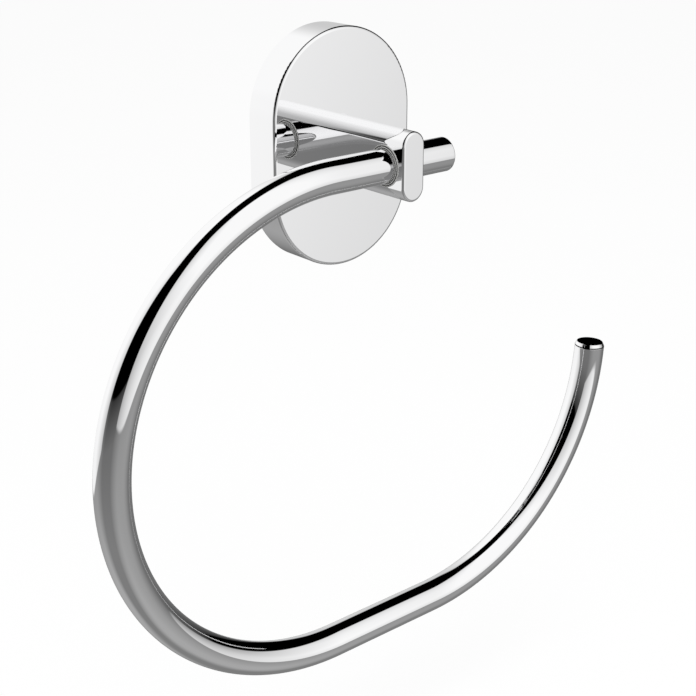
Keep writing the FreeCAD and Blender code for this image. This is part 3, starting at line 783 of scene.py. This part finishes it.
class Directions:
    """Where the cards' points lie from the origin, in degrees: bearing from +Y towards +X, and height."""

    def __init__(self, tree):
        aim = calc_vector(tree, "NORMALIZE", object_place(tree))
        view = add_node(tree, "ShaderNodeSeparateXYZ", {0: aim})
        self.tree = tree
        self.bearing = calc(tree, "DEGREES", calc(tree, "ARCTAN2", view.outputs["X"], view.outputs["Y"]))
        self.around = calc(tree, "FLOORED_MODULO", self.bearing, 360.0)
        self.height = calc(tree, "DEGREES", calc(tree, "ARCSINE", view.outputs["Z"]))

    def away(self, middle):
        """Cosine of the bearing from a middle bearing."""
        turn = calc(self.tree, "SUBTRACT", self.bearing, middle)
        return calc(self.tree, "COSINE", calc(self.tree, "RADIANS", turn))

    def towards(self, middle):
        """How far the direction points towards a bearing on the horizon."""
        level = calc(self.tree, "COSINE", calc(self.tree, "RADIANS", self.height))
        return calc(self.tree, "MULTIPLY", self.away(middle), level)

    def over_sill(self, middle, slope):
        """1 above an opening's lower edge, which is straight in the room and lowest at a middle bearing."""
        fall = calc(self.tree, "ARCTANGENT", calc(self.tree, "MULTIPLY", self.away(middle), -slope))
        above = calc(self.tree, "SUBTRACT", self.height, calc(self.tree, "DEGREES", fall))
        return ramp(self.tree, above, -0.8, 0.8)

    def by_height(self, level, raised):
        """Runs from one value on the horizon to another 30 degrees up."""
        return ramp(self.tree, self.height, 0.0, 30.0, level, raised, smooth=False)

    def loss(self, angle, full, empty, slope_level, slope_raised):
        """What an opening loses towards its dim side, by degrees from where it is full."""
        from_full = ramp(self.tree, angle, empty, full, abs(full - empty), 0.0, smooth=False)
        return product(self.tree, from_full, self.by_height(slope_level, slope_raised))

    def low_loss(self, lowest, amount):
        """What an opening loses from the horizon down to its lowest height."""
        return ramp(self.tree, self.height, lowest, 0.0, amount, 0.0, smooth=False)


def opening_behind(view):
    """The opening to the white room behind the ring."""
    tree = view.tree
    left_edge = view.by_height(-73.0, -65.0)
    right_edge = ramp(tree, view.height, 17.0, 28.0, 43.0, 36.5)
    dim_left = view.loss(view.bearing, -35.0, -80.0, 0.0125, 0.008)
    return product(
        tree,
        ramp(tree, calc(tree, "SUBTRACT", view.bearing, left_edge), -2.5, 2.5),
        ramp(tree, calc(tree, "SUBTRACT", view.bearing, right_edge), -2.0, 2.0, 1.0, 0.0),
        ramp(tree, view.towards(-20.0), 0.37, 0.41),
        view.over_sill(-2.0, 0.51),
        ramp(tree, view.bearing, 16.0, 38.0, 1.0, 0.62),
        one_less(tree, 0.03, dim_left, view.low_loss(-25.0, 0.1)),
    )


def opening_before(view):
    """The opening to the white room on the camera's side."""
    tree = view.tree
    dim_left = view.loss(view.around, 148.0, 98.0, 0.0163, 0.0067)
    leaning = calc(tree, "ADD", view.around, view.by_height(23.0, 0.0))
    return product(
        tree,
        ramp(tree, view.around, 104.0, 108.0),
        ramp(tree, view.around, 219.8, 222.2, 1.0, 0.0),
        ramp(tree, view.towards(160.0), 0.17, 0.23),
        view.over_sill(147.0, 0.352),
        one_less(tree, 0.03, dim_left, view.low_loss(-20.0, 0.2)),
        one_less(tree, view.loss(leaning, 188.0, 245.0, 0.0113, 0.01)),
    )


def card_grey(view, table_grey):
    """How bright the cards are: dark walls, and a grey table with light from the openings on it."""
    tree = view.tree
    horizon = calc(tree, "MULTIPLY_ADD", view.away(70.0), -5.5, 5.5)
    below = calc(tree, "SUBTRACT", horizon, view.height)
    table_edge = ramp(tree, below, 0.7, 2.7)
    far_grey = ramp(tree, below, -3.0, 20.0, 0.0, 0.75 * table_grey, smooth=False)
    near_grey = ramp(tree, below, 18.0, 52.0, 0.0, 0.28 * table_grey, smooth=False)
    lit_behind = ramp(tree, view.away(-28.0), 0.5, 0.93, smooth=False)
    lit_before = ramp(tree, view.away(165.0), 0.5, 0.93, smooth=False)
    light = product(
        tree,
        calc(tree, "ADD", lit_behind, lit_before),
        ramp(tree, view.height, -84.0, -60.0),
        ramp(tree, view.height, 0.0, 12.0, 1.0, 0.0),
        ramp(tree, view.height, -50.0, -15.0, 0.18, 0.12, smooth=False),
    )
    dusk = calc(tree, "ADD", product(tree, table_edge, far_grey), near_grey)
    return calc(tree, "ADD", dusk, light)


def tent_material(table_grey):
    """Cards round the ring, seen only in its mirrored image, with two openings to the white room."""
    material = bpy.data.materials.new("StudioCards")
    material.use_nodes = True
    tree = material.node_tree
    tree.nodes.clear()
    view = Directions(tree)
    opening = calc(tree, "MAXIMUM", opening_behind(view), opening_before(view))
    grey = card_grey(view, table_grey)
    colour = add_node(tree, "ShaderNodeCombineColor", {0: grey, 1: grey, 2: grey}).outputs[0]
    card = add_node(tree, "ShaderNodeEmission", {"Color": colour, "Strength": 1.0})
    window = add_node(tree, "ShaderNodeBsdfTransparent")
    mixed = add_node(tree, "ShaderNodeMixShader", {0: opening, 1: card.outputs[0], 2: window.outputs[0]})
    add_node(tree, "ShaderNodeOutputMaterial", {"Surface": mixed.outputs[0]})
    return material


def white_room():
    """White where the camera or a mirror looks past the set, and a plain soft level for everything else."""
    world = bpy.data.worlds.new("WhiteRoom")
    world.use_nodes = True
    tree = world.node_tree
    tree.nodes.clear()
    strength = ramp(tree, seen_directly(tree), 0.0, 1.0, 0.72, 1.0, smooth=False)
    light = add_node(tree, "ShaderNodeBackground", {"Color": (1, 1, 1, 1), "Strength": strength})
    add_node(tree, "ShaderNodeOutputWorld", {"Surface": light.outputs[0]})
    bpy.context.scene.world = world


def floor_material(colour, whiteness):
    """A matt pale floor with a barely visible mottle, white where it is seen and clear from underneath."""
    material, tree, shader = new_finish("PaleFloor", colour, metallic=0.0)
    shader.inputs["Specular IOR Level"].default_value = 0.0
    shader.inputs["Roughness"].default_value = 1.0
    sockets = {"Vector": object_place(tree), "Scale": 6.0, "Detail": 3.0}
    mottle = add_node(tree, "ShaderNodeTexNoise", sockets).outputs["Fac"]
    level = ramp(tree, mottle, 0.3, 0.7, 0.985, 1.0)
    tree.links.new(blend(tree, level, (0, 0, 0), colour), shader.inputs["Base Color"])
    white = add_node(tree, "ShaderNodeEmission", {"Color": (1, 1, 1, 1), "Strength": 1.0})
    lifted = calc(tree, "MULTIPLY", seen_directly(tree), whiteness)
    mixed = add_node(tree, "ShaderNodeMixShader", {0: lifted, 1: shader.outputs[0], 2: white.outputs[0]})
    clear = add_node(tree, "ShaderNodeBsdfTransparent")
    underneath = add_node(tree, "ShaderNodeNewGeometry").outputs["Backfacing"]
    sided = add_node(tree, "ShaderNodeMixShader", {0: underneath, 1: mixed.outputs[0], 2: clear.outputs[0]})
    tree.links.new(sided.outputs[0], tree.nodes["Material Output"].inputs["Surface"])
    return material


def add_floor(radius, height):
    """A flat round floor."""
    segments = 96
    vertices = [(radius * math.cos(turn), radius * math.sin(turn), height) for turn in steps_round(segments)]
    return link_mesh("Floor", vertices, [tuple(range(segments))])


def add_tent(radius):
    """A closed ball round the ring that carries the cards."""
    segments, rings = 96, 48
    vertices = []
    for ring in range(1, rings):
        tilt = math.pi * ring / rings
        flat, rise = radius * math.sin(tilt), radius * math.cos(tilt)
        vertices += [(flat * math.cos(turn), flat * math.sin(turn), rise) for turn in steps_round(segments)]
    lowest = len(vertices) - segments
    top, bottom = len(vertices), len(vertices) + 1
    vertices += [(0, 0, radius), (0, 0, -radius)]
    sides = [(step, (step + 1) % segments) for step in range(segments)]
    faces = [
        (here + step, here + segments + step, here + segments + after, here + after)
        for here in range(0, lowest, segments)
        for step, after in sides
    ]
    for step, after in sides:
        faces += [(top, step, after), (bottom, lowest + after, lowest + step)]
    return link_mesh("StudioTent", vertices, faces)


def add_lamp(settings, target):
    """The soft box over the set, aimed at a target."""
    lamp = bpy.data.lights.new("SoftBox", "AREA")
    lamp.shape = "RECTANGLE"
    lamp.size = lamp.size_y = settings.lamp_size
    lamp.energy = settings.lamp_power
    box = bpy.data.objects.new("SoftBox", lamp)
    box.location = settings.lamp_place
    box.rotation_euler = (target - box.location).to_track_quat("-Z", "Y").to_euler()
    box.visible_glossy = False
    box.visible_camera = False
    bpy.context.scene.collection.objects.link(box)


def add_camera(settings):
    """The camera in front of the ring, on its left and a little above it."""
    camera = bpy.data.objects.new("Camera", bpy.data.cameras.new("Camera"))
    camera.data.sensor_width = 36.0
    camera.data.lens = settings.lens
    camera.data.clip_start, camera.data.clip_end = 0.01, 60.0
    camera.location = settings.camera_place
    camera.rotation_euler = (math.pi / 2 - settings.camera_down, 0.0, -settings.camera_right)
    bpy.context.scene.collection.objects.link(camera)
    bpy.context.scene.camera = camera


# Operators


class TOWELRING_OT_bracket(bpy.types.Operator):
    """Finishes the cast bracket behind the cover"""

    bl_idname = "towelring.bracket"
    bl_label = "Wall Bracket"

    def execute(self, context):
        dress("wall_bracket", cast_metal("CastZinc", context.scene.towel_ring_plating.cast))
        return {"FINISHED"}


class TOWELRING_OT_chrome(bpy.types.Operator):
    """Plates the cover, the arm, the end cap and the stub's plug"""

    bl_idname = "towelring.chrome"
    bl_label = "Chrome Pieces"

    def execute(self, context):
        colour = context.scene.towel_ring_plating.chrome
        chrome = plated_metal("PolishedChrome", colour, **CHROME_POLISH)
        for node in ("wall_cover", "support_arm", "stub_end_plug"):
            dress(node, chrome)
        # The cap's chrome gets painted shade along the seam at its foot
        seam_shaded_chrome = plated_metal("CapChromeSeamShade", colour, **CHROME_POLISH)
        paint_seam_shade(seam_shaded_chrome, FREE_END, FREE_END_AIM, CAP_SEAM_SHADE)
        dress("free_end_cap", seam_shaded_chrome)
        return {"FINISHED"}


class TOWELRING_OT_bushes(bpy.types.Operator):
    """Turns the two bushes that line the arm's bore and shows them for the CAD bushes"""

    bl_idname = "towelring.bushes"
    bl_label = "Flank Bushes"

    def execute(self, context):
        colour = context.scene.towel_ring_plating.nylon
        # The second nylon is darkened as painted shade for the groove
        groove_shade_colour = [GROOVE_SHADE * part for part in colour]
        finishes = [nylon("GreyNylon", colour), nylon("GrooveShadeNylon", groove_shade_colour)]
        for side in ("right", "left"):
            bush = turned_bush("turned_bush_" + side, side, context.scene.towel_ring_bush)
            for finish in finishes:
                bush.data.materials.append(finish)
            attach(bush, BODY)
            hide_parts("flank_bush_" + side)
        return {"FINISHED"}


class TOWELRING_OT_bent_tube(bpy.types.Operator):
    """Bends the ring's tube with Geometry Nodes and shows it for the CAD tube"""

    bl_idname = "towelring.bent_tube"
    bl_label = "Bent Tube"

    def execute(self, context):
        settings = context.scene.towel_ring_tube
        colour = context.scene.towel_ring_plating.chrome
        values = {
            "Outside Radius": settings.outside / 2,
            "Wall": settings.wall,
            "Stub Reach": PLUG_HIGH.x + settings.stub_inset,
            "Lead Length": settings.lead,
            "Bend Radius": settings.bend,
            "Bottom Length": settings.bottom,
            "End Turn": settings.end_turn,
            "Stub Rounding": settings.rounding,
            "Free End Bevel": settings.bevel,
            "Axis": AXIS,
            "Around": settings.around,
            "Along": settings.along,
            "Material": plated_metal("TubeChrome", colour, **CHROME_POLISH, along_tube=True),
        }
        tube = grow("bent_ring_tube", tube_tree(), values)
        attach(tube, BODY)
        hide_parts("ring_tube")
        return {"FINISHED"}


class TOWELRING_OT_fasteners(bpy.types.Operator):
    """Finishes the arm screws, their washers and the grub screws"""

    bl_idname = "towelring.fasteners"
    bl_label = "Fasteners"

    def execute(self, context):
        colours = context.scene.towel_ring_plating
        for side in ("upper", "lower"):
            dress("lock_washer_" + side, plated_metal("BrightZinc", colours.zinc, **ZINC_POLISH))
            node = "arm_screw_" + side
            zinc = plated_metal("BrightZinc_" + node, colours.zinc, **ZINC_POLISH)
            dress(node, threaded(zinc, node, along="y", across="x", up="z"))
        for node in ("tube_grub_screw", "cover_grub_screw"):
            steel = plated_metal("TurnedSteel_" + node, colours.steel, **STEEL_POLISH)
            dress(node, threaded(steel, node, along="z", across="x", up="y"))
        return {"FINISHED"}


class TOWELRING_OT_stage(bpy.types.Operator):
    """Sets the camera, the floor, the soft light and the cards"""

    bl_idname = "towelring.stage"
    bl_label = "Studio"

    def execute(self, context):
        settings = context.scene.towel_ring_studio
        lowest = CAD_BOX[0].z
        white_room()
        floor = add_floor(settings.floor_radius, lowest - settings.floor_drop)
        floor.data.materials.append(floor_material(settings.floor_colour, settings.floor_whiteness))
        floor.visible_glossy = False
        tent = add_tent(settings.tent_radius)
        tent.data.materials.append(tent_material(settings.table_grey))
        for kind in ("camera", "diffuse", "transmission", "volume_scatter", "shadow"):
            setattr(tent, "visible_" + kind, False)
        add_lamp(settings, Vector((0, 0, lowest)))
        add_camera(settings)
        context.scene.view_settings.view_transform = "Standard"
        return {"FINISHED"}


SETTINGS = {
    "towel_ring_tube": RingTubeSettings,
    "towel_ring_bush": BushSettings,
    "towel_ring_plating": PlatingSettings,
    "towel_ring_studio": StudioSettings,
}

OPERATORS = (
    TOWELRING_OT_bracket,
    TOWELRING_OT_chrome,
    TOWELRING_OT_bushes,
    TOWELRING_OT_bent_tube,
    TOWELRING_OT_fasteners,
    TOWELRING_OT_stage,
)


class TOWELRING_PT_panel(bpy.types.Panel):
    """Lists the pieces and the studio"""

    bl_idname = "TOWELRING_PT_panel"
    bl_label = "Towel Ring"
    bl_space_type = "VIEW_3D"
    bl_region_type = "UI"
    bl_category = "Towel Ring"

    def draw(self, context):
        for operator in OPERATORS:
            self.layout.operator(operator.bl_idname)
        for group in SETTINGS:
            settings = getattr(context.scene, group)
            box = self.layout.box()
            for name in settings.__annotations__:
                box.prop(settings, name)


def register():
    """Adds the settings, the operators and the panel to Blender."""
    for name, settings in SETTINGS.items():
        bpy.utils.register_class(settings)
        setattr(bpy.types.Scene, name, PointerProperty(type=settings))
    for operator in OPERATORS:
        bpy.utils.register_class(operator)
    bpy.utils.register_class(TOWELRING_PT_panel)


def unregister():
    """Takes them out again."""
    bpy.utils.unregister_class(TOWELRING_PT_panel)
    for operator in reversed(OPERATORS):
        bpy.utils.unregister_class(operator)
    for name, settings in SETTINGS.items():
        delattr(bpy.types.Scene, name)
        bpy.utils.unregister_class(settings)


def main():
    """Builds the pieces and the studio."""
    register()
    bpy.ops.towelring.bracket()
    bpy.ops.towelring.chrome()
    bpy.ops.towelring.bushes()
    bpy.ops.towelring.bent_tube()
    bpy.ops.towelring.fasteners()
    bpy.ops.towelring.stage()


if __name__ == "__main__":
    main()
